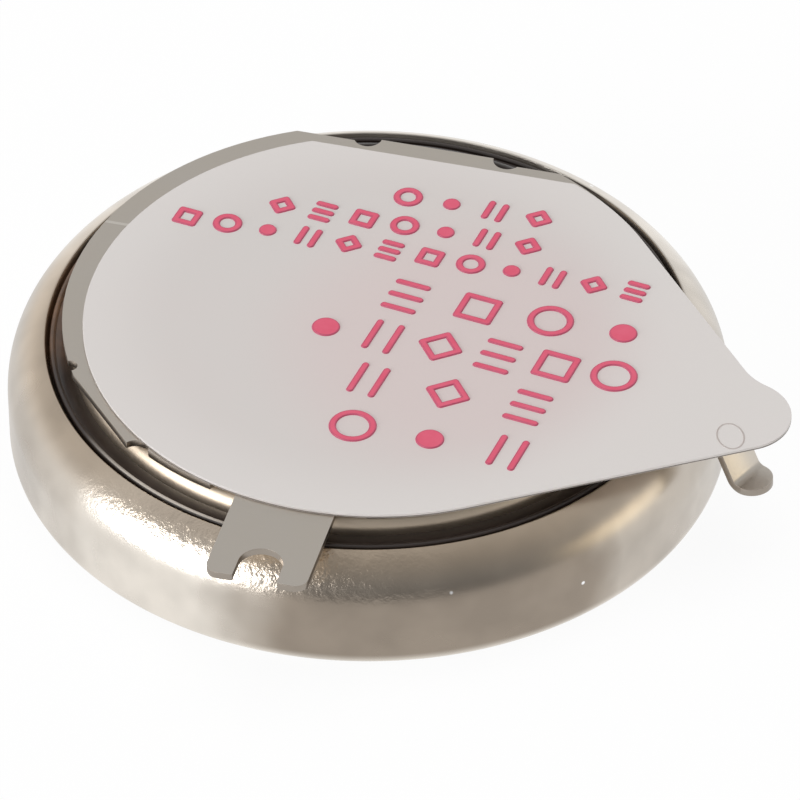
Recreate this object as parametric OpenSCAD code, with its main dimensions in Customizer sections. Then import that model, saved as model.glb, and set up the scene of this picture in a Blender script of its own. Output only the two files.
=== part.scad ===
// Rechargeable watch cell ("capacitor") with a welded lead plate and an insulating film.
// Origin at the centre of the flat base, +Z up through the cap, +X towards the film's tail,
// -Y towards the forked tab. Millimetres.

/* [Can] */
// Outer diameter of the positive can
can_d = 9.5; // [9:0.1:11]
// Sheet thickness of the can
can_wall = 0.15; // [0.12:0.01:0.2]
// Rounding between the flat base and the side wall
base_edge_r = 0.12; // [0.08:0.01:0.18]
// Height at which the straight side wall ends and the shoulder begins
wall_h = 0.72; // [0.7:0.01:0.9]
// Radius of the rolled shoulder
shoulder_r = 0.88; // [0.86:0.01:1]
// How far the crimped lip reaches in from the side wall
crimp_in = 0.51; // [0.48:0.01:0.55]

/* [Cap] */
// Width of the ring of gasket seen between lip and cap
ring_w = 0.34; // [0.3:0.01:0.4]
// Height of the cap's flat top above the edge of the lip
cap_rise = 0.21; // [0.18:0.01:0.3]
// Sheet thickness of the cap
cap_wall = 0.18; // [0.14:0.01:0.2]
// Rounding around the cap's flat top
cap_edge_r = 0.24; // [0.22:0.01:0.3]

/* [Gasket] */
// Thickness of the gasket between the can's wall and the cap's skirt
gasket_t = 0.25; // [0.2:0.01:0.28]
// Thickness of the gasket's foot under the cap's skirt
gasket_foot_t = 0.15; // [0.1:0.01:0.2]
// How far the foot reaches in past the skirt
gasket_foot_in = 0.17; // [0.12:0.01:0.2]
// How far the seen ring lies below the edge of the lip
ring_sink = 0.06; // [0.05:0.01:0.09]
// Radius of the bead around the seen ring
bead_r = 0.04; // [0.03:0.005:0.05]

/* [Electrodes] */
// Thickness of the positive pellet
cathode_t = 0.5; // [0.4:0.01:0.55]
// Thickness of the separator
separator_t = 0.12; // [0.08:0.01:0.15]
// Thickness of each conductive carbon layer
collector_t = 0.04; // [0.03:0.005:0.06]
// Play around the pellets
pellet_play = 0.06; // [0.04:0.01:0.1]

/* [Lead plate] */
// Thickness of the lead sheet
lead_t = 0.1; // [0.08:0.01:0.15]
// How far the left wing reaches past the cap's edge
wing_over = 0.1; // [0.06:0.01:0.14]
// Half-way cut of the wing's straight corner, measured in from the wing's arc
wing_chord_in = 0.07; // [0.04:0.01:0.09]
// Bearing where the wing's arc starts at the back
wing_from = 112; // [108:1:118]
// Bearing where the wing's arc ends at the front
wing_to = 210; // [205:1:212]
// Bearing where the wing's straight corner ends
corner_to = 237; // [232:1:240]
// How far the back edge lies in from the cap's edge
back_in = 0.4; // [0.3:0.01:0.45]
// Width of the tongue in the back edge
tongue_w = 1.56; // [1.3:0.02:1.8]
// How far the tongue stands out of the back edge
tongue_out = 0.1; // [0.06:0.01:0.14]
// Radius of the relief notches beside tongue and tab
relief_r = 0.19; // [0.15:0.01:0.22]

/* [Forked tab] */
// Width of the tab
tab_w = 1.31; // [1.2:0.01:1.6]
// How far the prongs reach past the can's wall
tab_out = 0.58; // [0.5:0.01:0.8]
// Sideways offset of the tab
tab_x = -0.05; // [-0.1:0.01:0.1]
// Radius of the fork's round notch
fork_r = 0.285; // [0.22:0.005:0.3]
// Depth of the notch's centre behind the prong tips
fork_depth = 0.29; // [0.25:0.01:0.35]
// Rounding of the prong tips
prong_r = 0.165; // [0.12:0.005:0.17]

/* [Contact arm] */
// Width of the arm
arm_w = 0.54; // [0.45:0.01:0.6]
// Bearing of the foot, seen from the can's axis
foot_bearing = -12; // [-16:0.1:-8]
// Heading of the arm
arm_heading = -24; // [-28:0.5:-16]
// Distance of the foot's lowest line beyond the can's wall
foot_out = 0.76; // [0.68:0.01:0.9]
// Height of the foot's lowest line above the base
foot_z = 1.09; // [0.95:0.01:1.15]
// Steepness of the arm between plate and foot
arm_slope = 60; // [56:1:64]
// Middle radius of the arm's upper bend
bend_r = 0.12; // [0.08:0.01:0.14]
// Middle radius of the foot's bend
foot_r = 0.17; // [0.12:0.01:0.18]
// Rise of the foot's end
foot_rise = 4; // [2:1:8]
// Length of the foot past its bend
foot_len = 0.26; // [0.2:0.01:0.32]

/* [Film] */
// Thickness of the film with its adhesive
film_t = 0.05; // [0.04:0.01:0.08]
// How much smaller than the cap the film's round part is
film_in = 0.05; // [0.03:0.01:0.1]
// Offset of the film from the can's axis, towards the tail
film_x = 0.16; // [0.1:0.01:0.2]
// Offset of the film from the can's axis, towards the tab
film_y = -0.11; // [-0.14:0.01:-0.06]
// How far the film's straight back edge lies in from the plate's
film_back_in = 0.22; // [0.16:0.01:0.3]
// Reach of the tail's tip past the can's wall
tail_out = 1.03; // [0.95:0.01:1.2]
// Bearing of the tail, seen from the film's centre
tail_bearing = -7.5; // [-10:0.5:-6]
// Radius of the tail's round end
tail_r = 0.67; // [0.58:0.01:0.68]
// Radius of the tail where the upper edge aims at it
tail_neck_r = 0.47; // [0.4:0.01:0.5]
// Fillet between the upper edge and the tail's round end
tail_fillet_r = 0.8; // [0.6:0.05:1]

/* [Print] */
// Thickness of the printed ink
ink_t = 0.015; // [0.01:0.005:0.02]
// Width of the printed strokes
stroke = 0.1; // [0.08:0.01:0.12]
// Height of the small motifs
small_h = 0.4; // [0.34:0.01:0.44]
// Height of the large motifs
large_h = 0.62; // [0.54:0.01:0.66]
// Smallest gap between two motifs in a row
motif_gap = 0.12; // [0.08:0.01:0.2]
// Lean of the motifs from upright
lean = 8; // [0:1:12]

/* [Hidden] */
$fn = 96;
far = can_d;      // larger than any cut needs
seat = 0.01;      // overlap of two shapes that form one piece

// Can: the shoulder's arc is centred at (shoulder_x, wall_h) in the section
can_r = can_d / 2;
shoulder_x = can_r - shoulder_r;
crimp_angle = acos(1 - crimp_in / shoulder_r);
lip_r = can_r - crimp_in;
lip_z = wall_h + shoulder_r * sin(crimp_angle);
collar_r = shoulder_x + (shoulder_r - can_wall) * cos(crimp_angle);

// Cap and gasket follow the can
cap_r = lip_r - ring_w;
cap_z = lip_z + cap_rise;
ring_z = lip_z - ring_sink;
skirt_r = can_r - can_wall - gasket_t;
skirt_z = can_wall + gasket_foot_t;
cap_shoulder_r = skirt_r - shoulder_x;
foot_in_r = skirt_r - cap_wall - gasket_foot_in;

// Stack of electrodes from the can's floor to the cap's underside
cathode_r = foot_in_r - pellet_play;
anode_r = cap_r - max(cap_wall + pellet_play, cap_edge_r + pellet_play / 2);
cathode_z = can_wall + collector_t;
separator_z = cathode_z + cathode_t;
anode_z = separator_z + separator_t;
cap_under_z = cap_z - cap_wall;
anode_t = cap_under_z - collector_t - anode_z;

// Lead plate lies on the cap
lead_z = cap_z;
wing_r = cap_r + wing_over;
back_y = cap_r - back_in;
tab_y = -(can_r + tab_out);
prong_flat = max(tab_w / 2 - prong_r - fork_r, seat);
tab_relief_y = -sqrt(pow(cap_r, 2) - pow(tab_w / 2 + relief_r, 2));

// Contact arm: its middle line drops from the plate to the foot
arm_drop = lead_z - foot_z;
arm_leg = (arm_drop - (bend_r + foot_r) * (1 - cos(arm_slope))) / sin(arm_slope);
arm_run = (bend_r + foot_r) * sin(arm_slope) + arm_leg * cos(arm_slope);
foot_reach = can_r + foot_out;
arm_start = cap_r - 2 * arm_w;
arm_root = foot_reach * cos(foot_bearing - arm_heading) - arm_run - arm_start;
foot_at = [foot_reach * cos(foot_bearing), foot_reach * sin(foot_bearing)];
foot_end = foot_r * sin(foot_rise) + foot_len * cos(foot_rise);

// Film lies on the plate
film_z = lead_z + lead_t;
film_r = cap_r - film_in;
film_c = [film_x, film_y];
film_back_y = back_y - film_back_in;
tail_d = (can_r + tail_out - tail_r - film_x) / cos(tail_bearing);

// Print lies on the film; the motifs' sizes are ratios of their row's height
ink_z = film_z + film_t;
frame_ratio = 0.86;
lozenge_ratio = 0.74;
bar_ratio = 0.8;
post_ratio = 0.24;
spot_ratio = 0.6;
motif_kinds = 6;
motif_step = 5;

// Rows as shares of the film's radius: [row's middle, left end, right end, motif height, first motif]
rows = [
    [0.66, -0.12, 0.45, small_h, 0],
    [0.505, -0.53, 0.45, small_h, 3],
    [0.36, -0.83, 0.86, small_h, 1],
    [0.135, -0.02, 0.9, large_h, 2],
    [-0.09, -0.24, 0.92, large_h, 5],
    [-0.32, -0.03, 0.68, large_h, 4],
    [-0.56, -0.02, 0.67, large_h, 0]
];

function polar(r, a) = [r * cos(a), r * sin(a)];

// ---- shapes used by several pieces ----

// Pie slice between two bearings
module slice(r, from, to) {
    polygon([[0, 0], polar(r, from), polar(r, (2 * from + to) / 3),
        polar(r, (from + 2 * to) / 3), polar(r, to)]);
}

// Right half of the section, above and below two heights
module zone(r_from, r_to, z_from, z_to) {
    translate([r_from, z_from]) square([r_to - r_from, z_to - z_from]);
}

// Filled section of the can at a depth below its outer surface
module can_section(depth) {
    edge = max(base_edge_r - depth, seat);
    bottom_r = can_r - depth;
    zone(0, bottom_r, depth + edge, wall_h);
    zone(0, bottom_r - edge, depth, depth + edge + seat);
    translate([bottom_r - edge, depth + edge]) circle(edge);
    zone(0, shoulder_x, wall_h - seat, wall_h + shoulder_r - depth);
    intersection() {
        translate([shoulder_x, wall_h]) circle(shoulder_r - depth);
        zone(0, can_r, wall_h - seat, wall_h + shoulder_r);
    }
}

// Filled section of the cap at a depth below its outer surface
module cap_section(depth) {
    edge = max(cap_edge_r - depth, seat);
    zone(0, skirt_r - depth, skirt_z - (depth > 0 ? seat : 0), wall_h);
    zone(0, shoulder_x, wall_h - seat, wall_h + cap_shoulder_r - depth);
    intersection() {
        translate([shoulder_x, wall_h]) circle(cap_shoulder_r - depth);
        zone(0, can_r, wall_h - seat, cap_z);
    }
    zone(0, cap_r - depth, wall_h, cap_z - depth - edge);
    zone(0, cap_r - depth - edge, wall_h, cap_z - depth);
    translate([cap_r - depth - edge, cap_z - depth - edge]) circle(edge);
}

module disc(r, z, t) {
    translate([0, 0, z]) cylinder(r = r, h = t);
}

// Strip of sheet seen from its edge, from the origin along +X
module strip(length) {
    translate([-seat, -lead_t / 2]) square([length + 2 * seat, lead_t]);
}

// Bend of the strip at the origin: up for a positive turn, down for a negative one
module bend(r, turn) {
    up = turn > 0 ? 1 : -1;
    translate([0, up * r]) intersection() {
        difference() {
            circle(r + lead_t / 2);
            circle(r - lead_t / 2);
        }
        rotate(-90 * up) slice(far, min(0, turn), max(0, turn));
    }
}

module past_bend(r, turn) {
    up = turn > 0 ? 1 : -1;
    translate([r * sin(abs(turn)), up * r * (1 - cos(turn))]) rotate(turn) children();
}

// ---- cell ----

// Drawn cup whose shoulder is rolled over the gasket
module can() {
    color("#b7ab98") rotate_extrude() difference() {
        can_section(0);
        can_section(can_wall);
        // the roll ends square to the sheet
        translate([shoulder_x, wall_h]) polygon([[0, 0], polar(far, crimp_angle), [-far, far], [-far, 0]]);
    }
}

// Moulded ring between can and cap, with a collar and a bead in the open ring
module gasket() {
    color("#2c2420") rotate_extrude() difference() {
        union() {
            intersection() {
                can_section(can_wall);
                zone(foot_in_r, can_r, 0, ring_z);
            }
            zone(cap_r - seat, collar_r, wall_h, ring_z);
            translate([collar_r - bead_r, ring_z]) circle(bead_r);
        }
        cap_section(0);
        zone(0, skirt_r - cap_wall, skirt_z, wall_h);
    }
}

// Drawn cup, open side down, whose skirt stands in the gasket
module cap() {
    color("#c2bbae") rotate_extrude() difference() {
        cap_section(0);
        cap_section(cap_wall);
    }
}

module cathode_collector() {
    color("#25262a") disc(cathode_r, can_wall, collector_t);
}

module cathode() {
    color("#3a3a3d") disc(cathode_r, cathode_z, cathode_t);
}

module separator() {
    color("#efece2") disc(foot_in_r, separator_z, separator_t);
}

module anode() {
    color("#6f7276") disc(anode_r, anode_z, anode_t);
}

module anode_collector() {
    color("#25262a") disc(anode_r, cap_under_z - collector_t, collector_t);
}

// ---- lead plate ----

// Plan of the plate's round part: the wing is a little wider, with a straight corner at the front
module plate_plan() {
    chord_bearing = (wing_to + corner_to) / 2;
    circle(cap_r);
    intersection() {
        circle(wing_r);
        slice(far, wing_from, wing_to);
    }
    intersection() {
        circle(wing_r);
        slice(far, wing_to, corner_to);
        rotate(chord_bearing) translate([-far, -far]) square([far + wing_r - wing_chord_in, 2 * far]);
    }
}

// Round notches that free the tongue, the tab and the wing's corner
module relief_plan() {
    for (side = [-1, 1]) {
        translate([side * (tongue_w / 2 + relief_r), back_y + tongue_out]) circle(relief_r);
        translate([tab_x + side * (tab_w / 2 + relief_r), tab_relief_y]) circle(relief_r);
    }
    rotate(corner_to) translate([wing_r, 0]) circle(wing_over + wing_chord_in);
    rotate(wing_to) translate([wing_r, 0]) circle(wing_over);
}

// Forked tab that stands out over the can's shoulder
module tab_plan() {
    translate([tab_x, 0]) difference() {
        union() {
            translate([-tab_w / 2, tab_y + prong_r]) square([tab_w, -tab_y - prong_r]);
            for (side = [-1, 1]) {
                translate([side * (tab_w / 2 - prong_r), tab_y + prong_r]) circle(prong_r);
                translate([side * (tab_w / 2 - prong_r) - (side > 0 ? prong_flat : 0), tab_y])
                    square([prong_flat, prong_r]);
            }
        }
        translate([0, tab_y + fork_depth]) circle(fork_r);
        translate([-fork_r, tab_y - seat]) square([2 * fork_r, fork_depth + seat]);
    }
}

// Arm that runs out over the shoulder, drops outside the wall and ends in a turned foot
module arm() {
    start = arm_root + arm_run;
    translate(concat(foot_at, [lead_z + lead_t / 2])) rotate(arm_heading) intersection() {
        translate([-start, arm_w / 2, 0]) rotate([90, 0, 0]) linear_extrude(arm_w) {
            strip(arm_root);
            translate([arm_root, 0]) {
                bend(bend_r, -arm_slope);
                past_bend(bend_r, -arm_slope) {
                    strip(arm_leg);
                    translate([arm_leg, 0]) {
                        bend(foot_r, arm_slope + foot_rise);
                        past_bend(foot_r, arm_slope + foot_rise) strip(foot_len);
                    }
                }
            }
        }
        translate([0, 0, -far / 2]) linear_extrude(far) {
            translate([-start - seat, -arm_w / 2]) square([start + foot_end - arm_w / 2, arm_w]);
            translate([foot_end - arm_w / 2, 0]) circle(arm_w / 2);
        }
    }
}

module lead_plate() {
    color("#a8a096") {
        translate([0, 0, lead_z]) linear_extrude(lead_t) {
            difference() {
                plate_plan();
                translate([-far, back_y]) square([2 * far, far]);
                relief_plan();
            }
            translate([-tongue_w / 2, 0]) square([tongue_w, back_y + tongue_out]);
            tab_plan();
        }
        arm();
    }
}

// ---- film ----

// The tail's two edges leave the film's round part as common tangents to circles at the tail's centre:
// side is 1 for the upper edge and -1 for the lower one
function edge_angle(r) = asin((film_r - r) / tail_d);
function edge_from(r, side) = polar(film_r, side * (90 - edge_angle(r)));
function edge_to(r, side) = [tail_d, 0] + polar(r, side * (90 - edge_angle(r)));

// Tail in its own axes: its upper edge aims at the neck's circle and flares into the round end by a fillet
module tail_plan() {
    along = polar(1, -edge_angle(tail_neck_r));
    across = polar(1, 90 - edge_angle(tail_neck_r));
    high = tail_neck_r + tail_fillet_r;
    reach = sqrt(pow(tail_r + tail_fillet_r, 2) - pow(high, 2));
    fillet_c = [tail_d, 0] + high * across - reach * along;
    difference() {
        polygon([edge_from(tail_r, -1), edge_to(tail_r, -1), [tail_d, 0], fillet_c,
            fillet_c - tail_fillet_r * across, edge_from(tail_neck_r, 1)]);
        translate(fillet_c) circle(tail_fillet_r);
    }
    translate([tail_d, 0]) circle(tail_r);
}

module film_plan() {
    difference() {
        translate(film_c) rotate(tail_bearing) {
            circle(film_r);
            tail_plan();
        }
        translate([-far, film_back_y]) square([2 * far, far]);
    }
}

module film() {
    color("#d7d2cf") translate([0, 0, film_z]) linear_extrude(film_t) film_plan();
}

// ---- print ----

// Simple motifs, each centred and about h high
module ring_motif(h) {
    difference() {
        circle(h / 2);
        circle(h / 2 - stroke);
    }
}

module frame_motif(h) {
    difference() {
        square(h * frame_ratio, center = true);
        square(h * frame_ratio - 2 * stroke, center = true);
    }
}

module lozenge_motif(h) {
    rotate(45) difference() {
        square(h * lozenge_ratio, center = true);
        square(h * lozenge_ratio - 2 * stroke, center = true);
    }
}

module bars_motif(h) {
    for (k = [-1, 0, 1])
        translate([0, k * (h - stroke) / 2]) square([h * bar_ratio, stroke], center = true);
}

module posts_motif(h) {
    for (k = [-1, 1]) translate([k * h * post_ratio, 0]) square([stroke, h], center = true);
}

module spot_motif(h) {
    circle(h * spot_ratio / 2);
}

module motif(kind, h) {
    if (kind == 0) ring_motif(h);
    if (kind == 1) frame_motif(h);
    if (kind == 2) bars_motif(h);
    if (kind == 3) lozenge_motif(h);
    if (kind == 4) posts_motif(h);
    if (kind == 5) spot_motif(h);
}

// One row between two ends, with as many motifs as fit at the row's spacing
module print_row(from, to, h, first) {
    count = floor((to - from - h) / (h + motif_gap)) + 1;
    pitch = count > 1 ? (to - from - h) / (count - 1) : 0;
    for (k = [0 : count - 1])
        translate([from + h / 2 + k * pitch, 0])
            rotate(-lean) motif((first + k * motif_step) % motif_kinds, h);
}

module print_marks() {
    color("#d95c76") translate([film_x, film_y, ink_z]) linear_extrude(ink_t)
        for (row = rows)
            translate([0, row[0] * film_r])
                print_row(row[1] * film_r, row[2] * film_r, row[3], row[4]);
}

can();
gasket();
cap();
cathode_collector();
cathode();
separator();
anode();
anode_collector();
lead_plate();
film();
print_marks();
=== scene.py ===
import math

import bmesh
import bpy
from mathutils import Matrix, Vector


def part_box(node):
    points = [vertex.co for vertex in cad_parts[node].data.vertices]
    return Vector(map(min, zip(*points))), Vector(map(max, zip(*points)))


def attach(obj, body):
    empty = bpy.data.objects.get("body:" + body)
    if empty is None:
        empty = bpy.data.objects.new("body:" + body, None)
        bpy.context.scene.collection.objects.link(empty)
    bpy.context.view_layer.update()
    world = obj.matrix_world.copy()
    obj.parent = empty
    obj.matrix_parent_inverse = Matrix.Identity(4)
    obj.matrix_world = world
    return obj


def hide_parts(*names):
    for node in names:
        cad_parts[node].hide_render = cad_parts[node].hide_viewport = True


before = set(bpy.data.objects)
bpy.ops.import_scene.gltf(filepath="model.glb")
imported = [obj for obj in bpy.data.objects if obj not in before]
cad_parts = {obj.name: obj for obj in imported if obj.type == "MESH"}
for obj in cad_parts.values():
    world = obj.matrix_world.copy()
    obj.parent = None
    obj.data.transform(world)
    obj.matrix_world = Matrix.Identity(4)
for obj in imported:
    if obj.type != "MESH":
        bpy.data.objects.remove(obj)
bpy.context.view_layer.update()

# Everything below is worked out in millimetres and written to the meshes in metres.
mm = 0.001


def highCorner(nodeName):
    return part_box(nodeName)[1] / mm


def lowCorner(nodeName):
    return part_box(nodeName)[0] / mm


# points in a plane are (x, y) in millimetres; bearings are in degrees, anticlockwise from +X
def polar(radius, bearing, centre=(0, 0)):
    angle = math.radians(bearing)
    return (centre[0] + radius * math.cos(angle), centre[1] + radius * math.sin(angle))


def turned(point, bearing):
    cosine, sine = polar(1, bearing)
    return point[0] * cosine - point[1] * sine, point[0] * sine + point[1] * cosine


def arc(centre, radius, fromBearing, toBearing, step=3):
    count = max(2, round(abs(toBearing - fromBearing) / step))
    turn = (toBearing - fromBearing) / count
    return [polar(radius, fromBearing + turn * k, centre) for k in range(count + 1)]


def bearingOf(point, centre=(0, 0)):
    return math.degrees(math.atan2(point[1] - centre[1], point[0] - centre[0]))


def meetOnCircle(bigRadius, centre, radius, side):
    # bearing, seen from the origin, where a small circle crosses a big one; side 1 is the later bearing
    distance = math.hypot(*centre)
    cosine = (bigRadius ** 2 + distance ** 2 - radius ** 2) / (2 * bigRadius * distance)
    return bearingOf(centre) + side * math.degrees(math.acos(cosine))


def bite(centre, radius, fromPoint, toPoint):
    # inward arc of a round notch between two points of an outline that runs anticlockwise
    start = bearingOf(fromPoint, centre)
    end = bearingOf(toPoint, centre)
    while end > start:
        end -= 360
    return arc(centre, radius, start, end, step=6)


def clipAbove(points, height):
    # the part of a closed outline that lies below a height
    kept = []
    for k, here in enumerate(points):
        before = points[k - 1]
        if (here[1] <= height) != (before[1] <= height):
            share = (height - before[1]) / (here[1] - before[1])
            kept.append((before[0] + share * (here[0] - before[0]), height))
        if here[1] <= height:
            kept.append(here)
    return kept


def withoutDoubles(points, closest=0.002):
    kept = []
    for point in points:
        if not kept or math.dist(point, kept[-1]) > closest:
            kept.append(point)
    if math.dist(kept[0], kept[-1]) <= closest:
        kept.pop()
    return kept


def inset(points, depth):
    # moves a dense anticlockwise outline inwards by a small depth
    moved = []
    for k, here in enumerate(points):
        before = points[k - 1]
        after = points[(k + 1) % len(points)]
        along = Vector((after[0] - before[0], after[1] - before[1])).normalized()
        moved.append((here[0] - along.y * depth, here[1] + along.x * depth))
    return moved


# every piece rides on the one body and takes the place of a CAD node
def newPiece(name, mesh, nodeName, material):
    piece = bpy.data.objects.new(name, mesh)
    bpy.context.scene.collection.objects.link(piece)
    mesh.materials.append(material)
    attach(piece, "root")
    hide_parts(nodeName)
    return piece


def smoothMesh(mesh, sharpAbove=32):
    for polygon in mesh.polygons:
        polygon.use_smooth = True
    mesh.set_sharp_from_angle(angle=math.radians(sharpAbove))


def applyModifiers(piece):
    depsgraph = bpy.context.evaluated_depsgraph_get()
    finished = bpy.data.meshes.new_from_object(piece.evaluated_get(depsgraph))
    piece.modifiers.clear()
    old = piece.data
    piece.data = finished
    bpy.data.meshes.remove(old)


def flattenNormals(piece):
    # large flat faces keep their own normal, so the small rounds beside them take the whole turn
    weights = piece.modifiers.new("weights", "WEIGHTED_NORMAL")
    weights.weight = 100
    weights.keep_sharp = True
    applyModifiers(piece)


def finishedMesh(bm, name):
    bmesh.ops.recalc_face_normals(bm, faces=bm.faces)
    mesh = bpy.data.meshes.new(name)
    bm.to_mesh(mesh)
    bm.free()
    return mesh


def loopOf(bm, points, height):
    return [bm.verts.new((x * mm, y * mm, height * mm)) for x, y in points]


def bridge(bm, lower, upper):
    for k in range(len(lower)):
        following = (k + 1) % len(lower)
        bm.faces.new((lower[k], lower[following], upper[following], upper[k]))


def revolvedMesh(name, section, segments):
    # turns a closed section of (radius, height) round the axis; points on the axis become one vertex
    bm = bmesh.new()
    rings = []
    for radius, height in section:
        if radius == 0:
            rings.append([bm.verts.new((0, 0, height * mm))] * segments)
            continue
        circle = [polar(radius, 360 * k / segments) for k in range(segments)]
        rings.append(loopOf(bm, circle, height))
    for lower, upper in zip(rings, rings[1:] + rings[:1]):
        if lower[0] is lower[1] and upper[0] is upper[1]:
            continue
        for k in range(segments):
            following = (k + 1) % segments
            corners = [lower[k], lower[following], upper[following], upper[k]]
            bm.faces.new(list(dict.fromkeys(corners)))
    return finishedMesh(bm, name)


def softCorners(points, steps=5):
    # a point with a third number is a corner, which that radius rounds
    rounded = []
    for k, point in enumerate(points):
        if len(point) == 2:
            rounded.append(point)
            continue
        here = Vector(point[:2])
        before = Vector(points[k - 1][:2]) - here
        after = Vector(points[(k + 1) % len(points)][:2]) - here
        reach = point[2] / math.tan(before.angle(after) / 2)
        start = here + before.normalized() * reach
        end = here + after.normalized() * reach
        for step in range(steps + 1):
            t = step / steps
            on = start * (1 - t) ** 2 + here * 2 * t * (1 - t) + end * t ** 2
            rounded.append((on.x, on.y))
    return rounded


def hexLinear(code):
    # colours are written as sRGB hex values, and Blender wants them linear
    channels = [int(code[k:k + 2], 16) / 255 for k in (1, 3, 5)]
    linear = [c / 12.92 if c <= 0.04045 else ((c + 0.055) / 1.055) ** 2.4 for c in channels]
    return (*linear, 1)


def perSize(sizeInMm):
    # texture scale at which one feature is that many millimetres wide
    return 1 / (sizeInMm * mm)


def ramp(start, end, atStart=0, atEnd=1):
    # the four limits of a mapped range
    return {"From Min": start, "From Max": end, "To Min": atStart, "To Max": atEnd}


def relief(strength, depth):
    # a bump's strength and its depth in millimetres
    return {"Strength": strength, "Distance": depth * mm}


def addNode(tree, kind, settings=None, inputs=None):
    made = tree.nodes.new("ShaderNode" + kind)
    for name, value in (settings or {}).items():
        setattr(made, name, value)
    for name, value in (inputs or {}).items():
        if isinstance(value, bpy.types.NodeSocket):
            tree.links.new(value, made.inputs[name])
        else:
            made.inputs[name].default_value = value
    return made


def newMaterial(name, **principled):
    material = bpy.data.materials.new(name)
    material.use_nodes = True
    shader = material.node_tree.nodes["Principled BSDF"]
    for socket, value in principled.items():
        shader.inputs[socket.replace("_", " ")].default_value = value
    return material, material.node_tree, shader


def wire(tree, shader, **outputs):
    # leads node outputs to the shader's sockets
    for socket, output in outputs.items():
        tree.links.new(output, shader.inputs[socket.replace("_", " ")])


# settings that many nodes share; a colour Mix has its share at input 0, its colours at 6 and 7 and its
# result at output 2, and a plain one has its two values at 2 and 3
smoothStep = {"interpolation_type": "SMOOTHSTEP"}
multiply = {"operation": "MULTIPLY"}
dotProduct = {"operation": "DOT_PRODUCT"}
colourBlend = {"data_type": "RGBA"}
noiseRange = (0.3, 0.7)          # nearly all values of a noise lie in here


def onSide(tree, direction, bearing, limits):
    # a share that grows towards one bearing, between two cosines of the angle from there
    facing = addNode(tree, "VectorMath", dotProduct, {0: direction, 1: (*polar(1, bearing), 0)})
    share = addNode(tree, "MapRange", smoothStep, {"Value": facing.outputs["Value"], **ramp(*limits)})
    return share.outputs["Result"]


print("helpers ready")


# In the looks, sizes and heights are in millimetres. What lies on one side has the bearing of its middle.
# Its edge and core are cosines of the angle from there, and two more numbers are its strength outside the
# edge and in the core.
canLook = {
    "nickel": "#ebe5dc",         # the plating's colour where no painted shade lies
    "paintedShadeNickel": "#988e83",     # painted shade, for the darker surroundings that the flank reflects
    "paintedShadePatches": (             # bearing, edge, core, depth of each patch of painted shade
        (-65, 0.75, 0.95, 1),
        (201, 0.82, 0.97, 0.62),
        (8, 0.78, 0.98, 0.52),
        (-25, 0.92, 0.99, 0.55),
    ),
    "patchSize": 2.2,
    "patchUneven": 0.07,         # how far a patch's edge wanders
    "paintedShadeAboveWall": 0.25,       # the painted shade is full up to this, and fades to the next share at the lip
    "paintedShadeAtLip": 0.5,
    "litBaseEnds": (0.04, 0.18),  # the painted shade is lifted at the base edge as a painted highlight, and that ends between these heights
    "litBaseShade": 0.1,
    "warmNickel": "#c9ac88",     # painted warm reflection, strongest at the lip and on one side
    "warmBelowLip": (0.4, 0.05),
    "warmDepth": (0.12, 0.8),
    "warmBearing": -105,
    "warmSide": (-0.5, 0.4, 0.1, 0.6),
    "cloudSize": 0.7,
    "cloudRange": (0.35, 0.65),
    "cloudShade": 0.87,
    "roughness": (0.24, 0.32),
    "grainSize": 0.05,
    "grainBump": (0.08, 0.002),  # strength, depth
    "wrinkleSize": 0.13,         # puckers left by the crimping die, drawn coarse enough to show
    "wrinkleHeight": 0.02,
    "wrinkleBearing": -95,
    "wrinkleSide": (0.78, 0.95, 0.05, 1),
    "wrinkleAboveWall": 0.15,
    "wrinkleBelowLip": 0.25,
    "speckSpacing": 0.9,         # painted glints of small nicks
    "speckSize": 0.035,
    "speckCore": 0.6,            # share of a speck that has its full colour
    "speckGlint": "#ffffff",
}


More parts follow.
